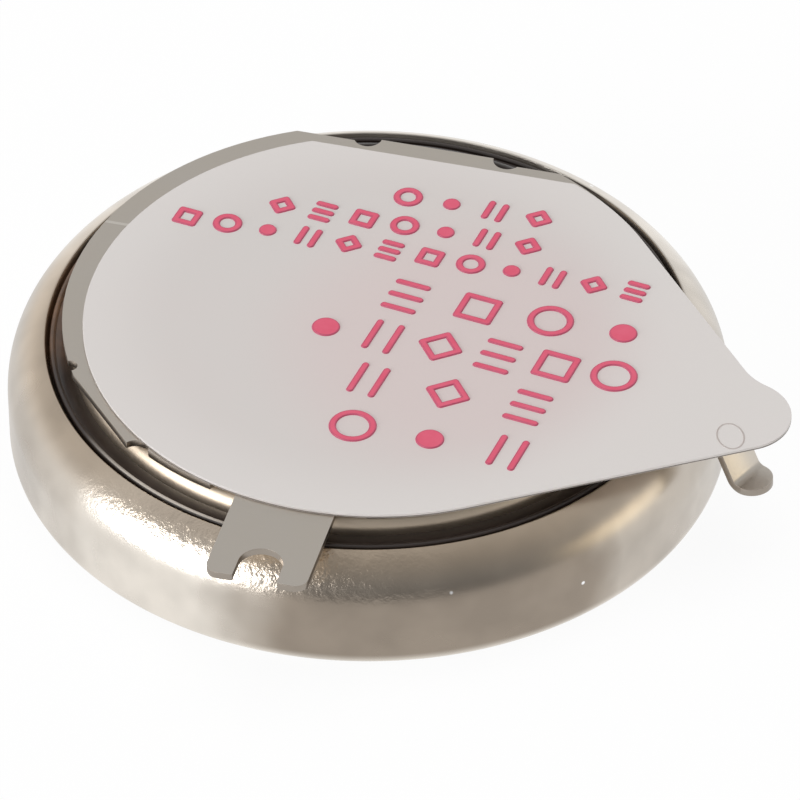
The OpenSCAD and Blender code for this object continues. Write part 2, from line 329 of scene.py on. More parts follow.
def nickelPlatedSteel(lipHeight, wallHeight):
    # Nickel-plated deep-drawn steel: soft broad highlights, warm grey, tumbled to a fine satin;
    # the crimped shoulder is finely puckered and sparkles on one side
    material, tree, shader = newMaterial("nickel_plated_drawn_steel", Metallic=1)
    place = addNode(tree, "TexCoord").outputs["Object"]
    parts = addNode(tree, "SeparateXYZ", None, {"Vector": place})
    flat = addNode(tree, "CombineXYZ", None, {"X": parts.outputs["X"], "Y": parts.outputs["Y"]})
    around = addNode(tree, "VectorMath", {"operation": "NORMALIZE"}, {0: flat.outputs["Vector"]})
    patches = addNode(tree, "TexNoise", None, {
        "Vector": place, "Scale": perSize(canLook["patchSize"]), "Detail": 3, "Roughness": 0.5})
    grain = addNode(tree, "TexNoise", None, {
        "Vector": place, "Scale": perSize(canLook["grainSize"]), "Detail": 2, "Roughness": 0.6})

    # painted shade in patches round the flank, for the darker surroundings it reflects, with uneven edges,
    # and a painted highlight on the base edge
    ragged = addNode(tree, "MapRange", None, {
        "Value": patches.outputs["Fac"],
        **ramp(*noiseRange, -canLook["patchUneven"], canLook["patchUneven"])})
    # the patches are painted shade, not a dulled plating
    paintedShade = None
    for bearing, edge, core, depth in canLook["paintedShadePatches"]:
        facing = addNode(tree, "VectorMath", dotProduct, {
            0: around.outputs["Vector"], 1: (*polar(1, bearing), 0)})
        uneven = addNode(tree, "Math", {"operation": "ADD"}, {
            0: facing.outputs["Value"], 1: ragged.outputs["Result"]})
        patch = addNode(tree, "MapRange", smoothStep, {
            "Value": uneven.outputs[0], **ramp(edge, core, 0, depth)})
        paintedShade = patch if paintedShade is None else addNode(tree, "Math", {"operation": "MAXIMUM"}, {
            0: paintedShade.outputs[0], 1: patch.outputs[0]})
    below = addNode(tree, "MapRange", smoothStep, {
        "Value": parts.outputs["Z"],
        **ramp((wallHeight + canLook["paintedShadeAboveWall"]) * mm, lipHeight * mm, 1, canLook["paintedShadeAtLip"])})
    # painted highlight: the base edge keeps only a little of the painted shade
    litBaseFrom, litBaseTo = canLook["litBaseEnds"]
    paintedHighlight = addNode(tree, "MapRange", smoothStep, {
        "Value": parts.outputs["Z"], **ramp(litBaseFrom * mm, litBaseTo * mm, canLook["litBaseShade"])})
    band = addNode(tree, "Math", multiply, {0: below.outputs["Result"], 1: paintedHighlight.outputs["Result"]})
    paintedShadeShare = addNode(tree, "Math", multiply, {0: paintedShade.outputs[0], 1: band.outputs[0]})
    tint = addNode(tree, "Mix", colourBlend, {
        0: paintedShadeShare.outputs[0], 6: hexLinear(canLook["nickel"]), 7: hexLinear(canLook["paintedShadeNickel"])})

    # painted warm reflection, soft clouds and painted glints of specks over it
    warmFrom, warmTo = canLook["warmBelowLip"]
    # the warm tint is a painted reflection on the shoulder near the lip
    nearLip = addNode(tree, "MapRange", smoothStep, {
        "Value": parts.outputs["Z"],
        **ramp((lipHeight - warmFrom) * mm, (lipHeight - warmTo) * mm, *canLook["warmDepth"])})
    warmSideShare = onSide(tree, around.outputs["Vector"], canLook["warmBearing"], canLook["warmSide"])
    warmShare = addNode(tree, "Math", multiply, {0: nearLip.outputs["Result"], 1: warmSideShare})
    warm = addNode(tree, "Mix", colourBlend, {
        0: warmShare.outputs[0], 6: tint.outputs[2], 7: hexLinear(canLook["warmNickel"])})
    clouds = addNode(tree, "TexNoise", None, {
        "Vector": place, "Scale": perSize(canLook["cloudSize"]), "Detail": 2, "Roughness": 0.5})
    shade = addNode(tree, "MapRange", None, {
        "Value": clouds.outputs["Fac"], **ramp(*canLook["cloudRange"], canLook["cloudShade"])})
    clouded = addNode(tree, "Mix", {**colourBlend, "blend_type": "MULTIPLY"}, {
        0: 1, 6: warm.outputs[2], 7: shade.outputs["Result"]})
    # white specks are painted glints
    cells = addNode(tree, "TexVoronoi", None, {"Vector": place, "Scale": perSize(canLook["speckSpacing"])})
    speckEdge = canLook["speckSize"] / canLook["speckSpacing"]
    speckGlint = addNode(tree, "MapRange", None, {
        "Value": cells.outputs["Distance"], **ramp(speckEdge, canLook["speckCore"] * speckEdge)})
    glinted = addNode(tree, "Mix", colourBlend, {
        0: speckGlint.outputs["Result"], 6: clouded.outputs[2], 7: hexLinear(canLook["speckGlint"])})
    rough = addNode(tree, "MapRange", None, {
        "Value": patches.outputs["Fac"], **ramp(*noiseRange, *canLook["roughness"])})

    # puckers only on the shoulder, and stronger on one side of the can
    climbFrom = wallHeight + canLook["wrinkleAboveWall"]
    climbTo = lipHeight - canLook["wrinkleBelowLip"]
    climb = addNode(tree, "MapRange", smoothStep, {
        "Value": parts.outputs["Z"], **ramp(climbFrom * mm, climbTo * mm)})
    some = onSide(tree, around.outputs["Vector"], canLook["wrinkleBearing"], canLook["wrinkleSide"])
    where = addNode(tree, "Math", multiply, {0: climb.outputs["Result"], 1: some})
    wrinkles = addNode(tree, "TexNoise", None, {
        "Vector": place, "Scale": perSize(canLook["wrinkleSize"]), "Detail": 3, "Roughness": 0.65})
    fine = addNode(tree, "Bump", None, {"Height": grain.outputs["Fac"], **relief(*canLook["grainBump"])})
    puckered = addNode(tree, "Bump", None, {
        "Height": wrinkles.outputs["Fac"], "Normal": fine.outputs["Normal"],
        **relief(where.outputs[0], canLook["wrinkleHeight"])})
    wire(tree, shader, Base_Color=glinted.outputs[2], Roughness=rough.outputs["Result"],
         Normal=puckered.outputs["Normal"])
    return material


capLook = {
    "steel": "#cfc0ad",
    "gapShadow": "#2e2622",          # painted shadow of the gap between cap and gasket, dark on the edge at the back
    "gapShadowFrom": 3.3,            # it sets in between these two, towards the back
    "gapShadowTo": 3.42,
    "grainSize": 0.06,
    "grainBump": (0.12, 0.003),
    "roughness": (0.36, 0.44),
}


def brightDrawnSteel():
    # Bright drawn stainless steel: soft white glints round the edge, with a faint drawn grain
    material, tree, shader = newMaterial("bright_drawn_steel", Metallic=1)
    place = addNode(tree, "TexCoord").outputs["Object"]
    parts = addNode(tree, "SeparateXYZ", None, {"Vector": place})
    # a painted shadow darkens the cap's edge at the back
    gapShadowShare = addNode(tree, "MapRange", smoothStep, {
        "Value": parts.outputs["Y"], **ramp(capLook["gapShadowFrom"] * mm, capLook["gapShadowTo"] * mm)})
    tint = addNode(tree, "Mix", colourBlend, {
        0: gapShadowShare.outputs["Result"], 6: hexLinear(capLook["steel"]), 7: hexLinear(capLook["gapShadow"])})
    grain = addNode(tree, "TexNoise", None, {
        "Vector": place, "Scale": perSize(capLook["grainSize"]), "Detail": 3, "Roughness": 0.6})
    rough = addNode(tree, "MapRange", None, {
        "Value": grain.outputs["Fac"], **ramp(*noiseRange, *capLook["roughness"])})
    bump = addNode(tree, "Bump", None, {"Height": grain.outputs["Fac"], **relief(*capLook["grainBump"])})
    wire(tree, shader, Base_Color=tint.outputs[2], Roughness=rough.outputs["Result"],
         Normal=bump.outputs["Normal"])
    return material


gasketLook = {
    "plastic": "#2e2521",
    "sealantAndSheen": "#88654a",        # dried sealant, brown and thin, on one side, and paler there as a painted sheen
    "sealantBearing": 187,
    "sealantSide": (0.88, 0.97),
    "sealantCover": (0.35, 1),
    "paintedHighlight": "#d3cabf",         # painted highlight along the crest of the bead
    "highlightBearing": -114,
    "highlightSide": (0.86, 0.96, 0, 0.9),
    "highlightBelow": 0.01,         # how far down the bead the painted highlight reaches
    "streakSize": 0.4,
    "streakBump": (0.15, 0.01),
    "coat": 0.25,
    "coatRoughness": 0.18,
    "roughness": (0.3, 0.45),
}


def mouldedPolypropylene(beadTop):
    # Moulded polypropylene with a thin coat of sealant: near black with a dull sheen, brown and paler
    # where the sealant is thick as a painted sheen, with a painted highlight along the bead's crest on one
    # side
    material, tree, shader = newMaterial(
        "moulded_sealing_ring", Metallic=0, IOR=1.5, Coat_Weight=gasketLook["coat"],
        Coat_Roughness=gasketLook["coatRoughness"])
    place = addNode(tree, "TexCoord").outputs["Object"]
    parts = addNode(tree, "SeparateXYZ", None, {"Vector": place})
    around = addNode(tree, "VectorMath", {"operation": "NORMALIZE"}, {0: place})
    streaks = addNode(tree, "TexNoise", None, {
        "Vector": place, "Scale": perSize(gasketLook["streakSize"]), "Detail": 4, "Roughness": 0.6})
    # the sealant tint also holds a painted sheen on that side
    near = onSide(
        tree, around.outputs["Vector"], gasketLook["sealantBearing"], gasketLook["sealantSide"])
    cover = addNode(tree, "MapRange", None, {
        "Value": streaks.outputs["Fac"], **ramp(*noiseRange, *gasketLook["sealantCover"])})
    amount = addNode(tree, "Math", multiply, {0: near, 1: cover.outputs["Result"]})
    tint = addNode(tree, "Mix", colourBlend, {
        0: amount.outputs[0], 6: hexLinear(gasketLook["plastic"]), 7: hexLinear(gasketLook["sealantAndSheen"])})
    # painted highlight on the bead's crest, on one side
    crest = addNode(tree, "MapRange", None, {
        "Value": parts.outputs["Z"],
        **ramp((beadTop - gasketLook["highlightBelow"]) * mm, (beadTop - gasketLook["highlightBelow"] / 2) * mm)})
    side = onSide(tree, around.outputs["Vector"], gasketLook["highlightBearing"], gasketLook["highlightSide"])
    paintedHighlight = addNode(tree, "Math", multiply, {0: crest.outputs["Result"], 1: side})
    highlighted = addNode(tree, "Mix", colourBlend, {
        0: paintedHighlight.outputs[0], 6: tint.outputs[2], 7: hexLinear(gasketLook["paintedHighlight"])})
    rough = addNode(tree, "MapRange", None, {
        "Value": streaks.outputs["Fac"], **ramp(*noiseRange, *gasketLook["roughness"])})
    bump = addNode(tree, "Bump", None, {
        "Height": streaks.outputs["Fac"], **relief(*gasketLook["streakBump"])})
    wire(tree, shader, Base_Color=highlighted.outputs[2], Roughness=rough.outputs["Result"],
         Normal=bump.outputs["Normal"])
    return material


plateLook = {
    "steel": "#cac4bc",
    "warmSteel": "#cbc2b6",
    "patchSize": 1.3,
    "grainWidth": 0.02,          # lines left by the rolling mill, across the tab
    "grainLength": 0.6,
    "grainBump": (0.08, 0.002),
    "creaseAt": 0.965,           # a faint bend line across the wing, drawn as a painted highlight
    "creaseFrom": -3.3,          # where it begins, to run out to the wing's rim
    "creaseWidth": 0.05,
    "creaseHighlight": "#dfd9d0",
    "cutEdgeShade": "#9d948a",    # painted shade on the stamping's cut edges
    "roughness": (0.3, 0.38),
}


def rolledStainless():
    # Rolled stainless sheet, annealed: an even satin with hardly visible rolling lines
    material, tree, shader = newMaterial("rolled_stainless_sheet", Metallic=1)
    place = addNode(tree, "TexCoord").outputs["Object"]
    parts = addNode(tree, "SeparateXYZ", None, {"Vector": place})
    patches = addNode(tree, "TexNoise", None, {
        "Vector": place, "Scale": perSize(plateLook["patchSize"]), "Detail": 2, "Roughness": 0.5})
    tint = addNode(tree, "Mix", colourBlend, {
        0: patches.outputs["Fac"], 6: hexLinear(plateLook["steel"]), 7: hexLinear(plateLook["warmSteel"])})
    # the bend line is a painted highlight on the flat sheet
    nearCrease = addNode(tree, "Math", {"operation": "COMPARE"}, {
        0: parts.outputs["Y"], 1: plateLook["creaseAt"] * mm, 2: plateLook["creaseWidth"] / 2 * mm})
    onWing = addNode(tree, "Math", {"operation": "LESS_THAN"}, {
        0: parts.outputs["X"], 1: plateLook["creaseFrom"] * mm})
    crease = addNode(tree, "Math", multiply, {0: nearCrease.outputs[0], 1: onWing.outputs[0]})
    creaseLit = addNode(tree, "Mix", colourBlend, {
        0: crease.outputs[0], 6: tint.outputs[2], 7: hexLinear(plateLook["creaseHighlight"])})
    # the cut edges take a painted shade
    cut = addNode(tree, "Attribute", {"attribute_name": "cut"})
    edgeShaded = addNode(tree, "Mix", colourBlend, {
        0: cut.outputs["Fac"], 6: creaseLit.outputs[2], 7: hexLinear(plateLook["cutEdgeShade"])})
    along = perSize(plateLook["grainLength"])
    across = perSize(plateLook["grainWidth"])
    stretched = addNode(tree, "Mapping", None, {"Vector": place, "Scale": (along, across, across)})
    lines = addNode(tree, "TexNoise", None, {
        "Vector": stretched.outputs["Vector"], "Scale": 1, "Detail": 2, "Roughness": 0.5})
    rough = addNode(tree, "MapRange", None, {
        "Value": lines.outputs["Fac"], **ramp(*noiseRange, *plateLook["roughness"])})
    bump = addNode(tree, "Bump", None, {"Height": lines.outputs["Fac"], **relief(*plateLook["grainBump"])})
    wire(tree, shader, Base_Color=edgeShaded.outputs[2], Roughness=rough.outputs["Result"],
         Normal=bump.outputs["Normal"])
    return material


filmLook = {
    "coolWhite": "#d1cdca",
    "warmWhite": "#d4ccc9",
    "hazeSize": 2.2,
    "pinkCast": "#d4c5c3",       # red that the print throws into the film round it
    "castMiddle": (1.4, -0.3),
    "castRadius": (1.4, 3.2),    # full inside the first, gone at the second
    "castDepth": 0.8,
    "rim": "#dfdbd8",            # paler towards the rim, as painted light where the film lifts off the plate
    "litRimRadius": (2.6, 3.9),
    "litRimDepth": 0.5,
    "pressedLine": "#a89c96",
    "edgeShadow": "#7f7771",       # painted shadow line low on the cut edge, not on the underside
    "edgeShadowHeight": 0.011,         # its middle, above the underside
    "edgeShadowHalf": 0.009,
    "grainSize": 0.04,
    "grainBump": (0.1, 0.002),
    "roughness": (0.42, 0.52),
}


def polyesterFilm(filmCentre, bottomHeight, topHeight):
    # Polyester film with a matt white back: smooth, pale, slightly warm; the paler rim is painted light, and
    # a painted shadow line runs low on the cut edge
    material, tree, shader = newMaterial("matt_polyester_film", IOR=1.5)
    place = addNode(tree, "TexCoord").outputs["Object"]
    parts = addNode(tree, "SeparateXYZ", None, {"Vector": place})
    haze = addNode(tree, "TexNoise", None, {
        "Vector": place, "Scale": perSize(filmLook["hazeSize"]), "Detail": 3, "Roughness": 0.5})
    body = addNode(tree, "Mix", colourBlend, {
        0: haze.outputs["Fac"], 6: hexLinear(filmLook["coolWhite"]), 7: hexLinear(filmLook["warmWhite"])})
    castX, castY = filmLook["castMiddle"]
    fromPrint = addNode(tree, "VectorMath", {"operation": "DISTANCE"}, {
        0: place, 1: (castX * mm, castY * mm, topHeight * mm)})
    castFrom, castTo = filmLook["castRadius"]
    bled = addNode(tree, "MapRange", smoothStep, {
        "Value": fromPrint.outputs["Value"], **ramp(castFrom * mm, castTo * mm, filmLook["castDepth"], 0)})
    pinkish = addNode(tree, "Mix", colourBlend, {
        0: bled.outputs["Result"], 6: body.outputs[2], 7: hexLinear(filmLook["pinkCast"])})
    # painted light: paler towards the rim
    fromCentre = addNode(tree, "VectorMath", {"operation": "DISTANCE"}, {
        0: place, 1: (*[c * mm for c in filmCentre], topHeight * mm)})
    rimFrom, rimTo = filmLook["litRimRadius"]
    rim = addNode(tree, "MapRange", smoothStep, {
        "Value": fromCentre.outputs["Value"], **ramp(rimFrom * mm, rimTo * mm, 0, filmLook["litRimDepth"])})
    tint = addNode(tree, "Mix", colourBlend, {
        0: rim.outputs["Result"], 6: pinkish.outputs[2], 7: hexLinear(filmLook["rim"])})
    mark = addNode(tree, "Attribute", {"attribute_name": "mark"})
    marked = addNode(tree, "Mix", colourBlend, {
        0: mark.outputs["Fac"], 6: tint.outputs[2], 7: hexLinear(filmLook["pressedLine"])})
    # painted shadow line low on the film's cut edge
    edgeShadowHeight = bottomHeight + filmLook["edgeShadowHeight"]
    low = addNode(tree, "Math", {"operation": "COMPARE"}, {
        0: parts.outputs["Z"], 1: edgeShadowHeight * mm, 2: filmLook["edgeShadowHalf"] * mm})
    edgeShadowed = addNode(tree, "Mix", colourBlend, {
        0: low.outputs[0], 6: marked.outputs[2], 7: hexLinear(filmLook["edgeShadow"])})
    grain = addNode(tree, "TexNoise", None, {
        "Vector": place, "Scale": perSize(filmLook["grainSize"]), "Detail": 2, "Roughness": 0.6})
    rough = addNode(tree, "MapRange", None, {
        "Value": grain.outputs["Fac"], **ramp(*noiseRange, *filmLook["roughness"])})
    bump = addNode(tree, "Bump", None, {"Height": grain.outputs["Fac"], **relief(*filmLook["grainBump"])})
    wire(tree, shader, Base_Color=edgeShadowed.outputs[2], Roughness=rough.outputs["Result"],
         Normal=bump.outputs["Normal"])
    return material


inkLook = {
    "light": "#e0667f",
    "deep": "#d64d69",
    "rim": "#b8506b",
    "coverSize": 0.25,
    "roughness": (0.4, 0.55),
}


def screenInk():
    # Screen-printed ink: flat coral red whose rim is darker, where the stencil left it thicker
    material, tree, shader = newMaterial("screen_printed_ink", IOR=1.5)
    rim = addNode(tree, "Attribute", {"attribute_name": "rim"})
    place = addNode(tree, "TexCoord").outputs["Object"]
    cover = addNode(tree, "TexNoise", None, {
        "Vector": place, "Scale": perSize(inkLook["coverSize"]), "Detail": 3, "Roughness": 0.6})
    body = addNode(tree, "Mix", colourBlend, {
        0: cover.outputs["Fac"], 6: hexLinear(inkLook["light"]), 7: hexLinear(inkLook["deep"])})
    edge = addNode(tree, "Mix", colourBlend, {
        0: rim.outputs["Fac"], 6: body.outputs[2], 7: hexLinear(inkLook["rim"])})
    rough = addNode(tree, "MapRange", None, {
        "Value": cover.outputs["Fac"], **ramp(*noiseRange, *inkLook["roughness"])})
    wire(tree, shader, Base_Color=edge.outputs[2], Roughness=rough.outputs["Result"])
    return material


# the inside: two powders, two carbon pastes and a felt, which show only when the cell is taken apart
powderBump = (0.4, 0.01)         # strength, depth of the grains


def powderMaterial(name, dark, light, grainSize, roughness):
    # Pressed powder or dried paste: dull, with grains of two shades
    material, tree, shader = newMaterial(name, Roughness=roughness, IOR=1.45)
    place = addNode(tree, "TexCoord").outputs["Object"]
    grains = addNode(tree, "TexVoronoi", None, {"Vector": place, "Scale": perSize(grainSize)})
    tint = addNode(tree, "Mix", colourBlend, {
        0: grains.outputs["Color"], 6: hexLinear(dark), 7: hexLinear(light)})
    bump = addNode(tree, "Bump", None, {"Height": grains.outputs["Distance"], **relief(*powderBump)})
    wire(tree, shader, Base_Color=tint.outputs[2], Normal=bump.outputs["Normal"])
    return material


feltLook = {
    "shaded": "#dcd7c8",
    "lit": "#f4f1e8",
    "fibreSize": 0.08,           # coarser than a real fibre, so that it shows
    "fibreBump": (0.5, 0.01),
    "roughness": 0.9,
}


def fibreFelt():
    # Non-woven felt: off-white fibres that lie every way
    material, tree, shader = newMaterial("non_woven_felt", Roughness=feltLook["roughness"], IOR=1.5)
    place = addNode(tree, "TexCoord").outputs["Object"]
    fibres = addNode(tree, "TexNoise", None, {
        "Vector": place, "Scale": perSize(feltLook["fibreSize"]), "Detail": 5, "Roughness": 0.7,
        "Distortion": 2})
    tint = addNode(tree, "Mix", colourBlend, {
        0: fibres.outputs["Fac"], 6: hexLinear(feltLook["shaded"]), 7: hexLinear(feltLook["lit"])})
    bump = addNode(tree, "Bump", None, {"Height": fibres.outputs["Fac"], **relief(*feltLook["fibreBump"])})
    wire(tree, shader, Base_Color=tint.outputs[2], Normal=bump.outputs["Normal"])
    return material


insideLooks = {                  # name, two shades, grain in mm, roughness
    "cathode_collector": powderMaterial("carbon_paste_lower", "#17171a", "#2b2b30", 0.02, 0.75),
    "cathode": powderMaterial("pressed_black_powder", "#2b2b2e", "#48484c", 0.05, 0.9),
    "separator": fibreFelt(),
    "anode": powderMaterial("pressed_grey_powder", "#5f6266", "#80848a", 0.04, 0.85),
    "anode_collector": powderMaterial("carbon_paste_upper", "#17171a", "#2b2b30", 0.02, 0.75),
}
for nodeName, look in insideLooks.items():
    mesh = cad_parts[nodeName].data
    mesh.materials.clear()
    mesh.materials.append(look)
print("inner pieces finished")


# the can, a drawn cup with its shoulder rolled in
can = {
    "radius": highCorner("can").x,
    "lipHeight": highCorner("can").z,
    "wall": 0.15,
    "baseEdge": 0.12,
    "wallHeight": 0.72,
    "wallRings": (0.3, 0.52),    # heights of two rings that keep the straight wall evenly shaded
    "flatRing": 2,               # radius of a ring that does the same for base and floor
    "floorRound": 0.03,
    "shoulder": 0.88,            # radius of the rolled shoulder
    "crimpIn": 0.51,             # how far the lip reaches in
    "lipRound": 0.02,
    "segments": 360,
}
can["shoulderCentre"] = (can["radius"] - can["shoulder"], can["wallHeight"])
can["crimpAngle"] = math.degrees(math.acos(1 - can["crimpIn"] / can["shoulder"]))


def canSection():
    edgeCentre = (can["radius"] - can["baseEdge"], can["baseEdge"])
    innerRadius = can["radius"] - can["wall"]
    outer = arc(edgeCentre, can["baseEdge"], -90, 0, step=9)
    outer += [(can["radius"], height) for height in can["wallRings"]]
    outer += arc(can["shoulderCentre"], can["shoulder"], 0, can["crimpAngle"], step=1.6)
    inner = arc(can["shoulderCentre"], can["shoulder"] - can["wall"], can["crimpAngle"], 0, step=3)
    # the two corners of the lip are rounded
    outer[-1] = (*outer[-1], can["lipRound"])
    inner[0] = (*inner[0], can["lipRound"])
    innerFloor = [
        (innerRadius, can["wall"], can["floorRound"]), (can["flatRing"], can["wall"]), (0, can["wall"])]
    return softCorners([(0, 0), (can["flatRing"], 0)] + outer + inner + innerFloor)


canPiece = newPiece(
    "can", revolvedMesh("can", canSection(), can["segments"]), "can",
    nickelPlatedSteel(can["lipHeight"], can["wallHeight"]))
smoothMesh(canPiece.data)
print("can made")


# the cap, a drawn cup with its open side down
cap = {
    "radius": 3.9,
    "top": highCorner("cap").z,
    "skirtRadius": highCorner("cap").x,
    "skirtHeight": lowCorner("cap").z,
    "wall": 0.18,
    "edge": 0.24,                # radius of the round edge
    "skirtRound": 0.02,
    "segments": 320,
}


def capSection():
    edgeCentre = (cap["radius"] - cap["edge"], cap["top"] - cap["edge"])
    bigRound = cap["skirtRadius"] - can["shoulderCentre"][0]
    smallRound = bigRound - cap["wall"]
    across = can["shoulderCentre"][0] - cap["radius"]
    skirtTop = math.degrees(math.acos(-across / bigRound))
    outer = [(0, cap["top"]), (can["flatRing"], cap["top"])]
    outer += arc(edgeCentre, cap["edge"], 90, 0, step=6)
    outer += arc(can["shoulderCentre"], bigRound, skirtTop, 0, step=6)
    innerSkirt = cap["skirtRadius"] - cap["wall"]
    outer += [(radius, cap["skirtHeight"], cap["skirtRound"]) for radius in (cap["skirtRadius"], innerSkirt)]
    ledge = can["wallHeight"] + smallRound
    inner = arc(can["shoulderCentre"], smallRound, 0, 90, step=9)
    inner += [(cap["radius"] - cap["wall"], ledge)]
    inner += arc(edgeCentre, cap["edge"] - cap["wall"], 0, 90, step=15)
    underside = cap["top"] - cap["wall"]
    return softCorners(outer + inner + [(can["flatRing"], underside), (0, underside)])


capPiece = newPiece(
    "cap", revolvedMesh("cap", capSection(), cap["segments"]), "cap", brightDrawnSteel())
smoothMesh(capPiece.data)
print("cap made")


# the gasket, a moulded ring whose bead shows between lip and cap
gasket = {
    "footTop": lowCorner("cap").z,
    "footInner": -lowCorner("separator").x,
    "bead": 0.04,
    "seamWidth": 0.05,           # slope of the ring down to the cap
    "seamDepth": 0.015,
    "segments": 320,
}
gasket["ringHeight"] = highCorner("gasket").z - gasket["bead"]


def gasketSection():
    outerRound = can["shoulder"] - can["wall"]
    innerRound = cap["skirtRadius"] - can["shoulderCentre"][0]
    collar = polar(outerRound, can["crimpAngle"], can["shoulderCentre"])[0]
    across = can["shoulderCentre"][0] - cap["radius"]
    skirtTop = math.degrees(math.acos(-across / innerRound))
    section = [(gasket["footInner"], can["wall"]), (can["radius"] - can["wall"], can["wall"])]
    section += arc(can["shoulderCentre"], outerRound, 0, can["crimpAngle"], step=3)
    section += arc((collar - gasket["bead"], gasket["ringHeight"]), gasket["bead"], 0, 180, step=15)
    section += [(cap["radius"] + gasket["seamWidth"], gasket["ringHeight"]),
                (cap["radius"], gasket["ringHeight"] - gasket["seamDepth"])]
    section += arc(can["shoulderCentre"], innerRound, skirtTop, 0, step=6)
    section += [(cap["skirtRadius"], gasket["footTop"]), (gasket["footInner"], gasket["footTop"])]
    return section


gasketPiece = newPiece(
    "gasket", revolvedMesh("gasket", gasketSection(), gasket["segments"]), "gasket",
    mouldedPolypropylene(highCorner("gasket").z))
smoothMesh(gasketPiece.data)
print("gasket made")


# the lead plate, one stamped sheet with wing, tongue, forked tab and contact arm
lead = {
    "bottom": cap["top"],
    "thickness": highCorner("lead_plate").z - cap["top"],
    "edgeRound": 0.012,          # rolled-over edge of the stamping
    "sharpAngle": 50,            # edges that turn more than this are rolled over
    "discRadius": cap["radius"],
    "wingRadius": -lowCorner("lead_plate").x,
    "chordIn": 0.07,             # depth of the wing's straight cut, which lies between these two bearings
    "wingTo": 210,
    "cornerTo": 237,
    "backEdge": 3.5,
    "tongueEdge": highCorner("lead_plate").y,
    "tongueHalf": 0.78,
    "reliefRadius": 0.19,
}
tab = {
    "middle": -0.05,
    "half": 0.655,
    "tip": lowCorner("lead_plate").y,
    "forkRadius": 0.285,
    "forkDepth": 0.29,
    "prongRound": 0.165,
    "tipRound": 0.03,            # between prong tip and notch
}
arm = {
    "half": 0.27,
    "heading": -24,
    "footBearing": -12,          # where the foot's turn ends, from the part's middle
    "footReach": 5.51,
    "slope": 60,                 # degrees below the level
    "bendRadius": 0.12,
    "footRadius": 0.17,
    "footLength": 0.26,
    "footRise": 4,
    "drop": cap["top"] - lowCorner("lead_plate").z,
    "bendSteps": 10,
    "legSteps": 6,
    "footSteps": 16,
    "endSteps": 18,
}
arm["leg"] = (arm["drop"] - (arm["bendRadius"] + arm["footRadius"])
              * (1 - math.cos(math.radians(arm["slope"])))) / math.sin(math.radians(arm["slope"]))
arm["run"] = ((arm["bendRadius"] + arm["footRadius"]) * math.sin(math.radians(arm["slope"]))
              + arm["leg"] * math.cos(math.radians(arm["slope"])))
arm["aside"] = arm["footReach"] * math.sin(math.radians(arm["footBearing"] - arm["heading"]))
arm["ahead"] = arm["footReach"] * math.cos(math.radians(arm["footBearing"] - arm["heading"]))
arm["bendStart"] = arm["ahead"] - arm["run"]


def alongArm(ahead, aside):
    # plan position from distances along and across the arm's heading
    return turned((ahead, aside), arm["heading"])


def armEdgeBearing(aside):
    ahead = math.sqrt(lead["discRadius"] ** 2 - aside ** 2)
    return bearingOf(alongArm(ahead, aside))


def forkedEnd():
    # from the tab's left side, round the prongs and the fork's notch, to its right side
    left = tab["middle"] - tab["half"]
    right = tab["middle"] + tab["half"]
    cornerHeight = tab["tip"] + tab["prongRound"]
    notchHeight = tab["tip"] + tab["forkDepth"]
    tipRound = tab["tipRound"]
    points = arc((left + tab["prongRound"], cornerHeight), tab["prongRound"], 180, 270, step=6)
    tipCentre = (tab["middle"] - tab["forkRadius"] - tipRound, tab["tip"] + tipRound)
    points += arc(tipCentre, tipRound, 270, 360, step=18)
    points += arc((tab["middle"], notchHeight), tab["forkRadius"], 180, 0, step=5)
    tipCentre = (tab["middle"] + tab["forkRadius"] + tipRound, tab["tip"] + tipRound)
    points += arc(tipCentre, tipRound, 180, 270, step=18)
    points += arc((right - tab["prongRound"], cornerHeight), tab["prongRound"], 270, 360, step=6)
    return points


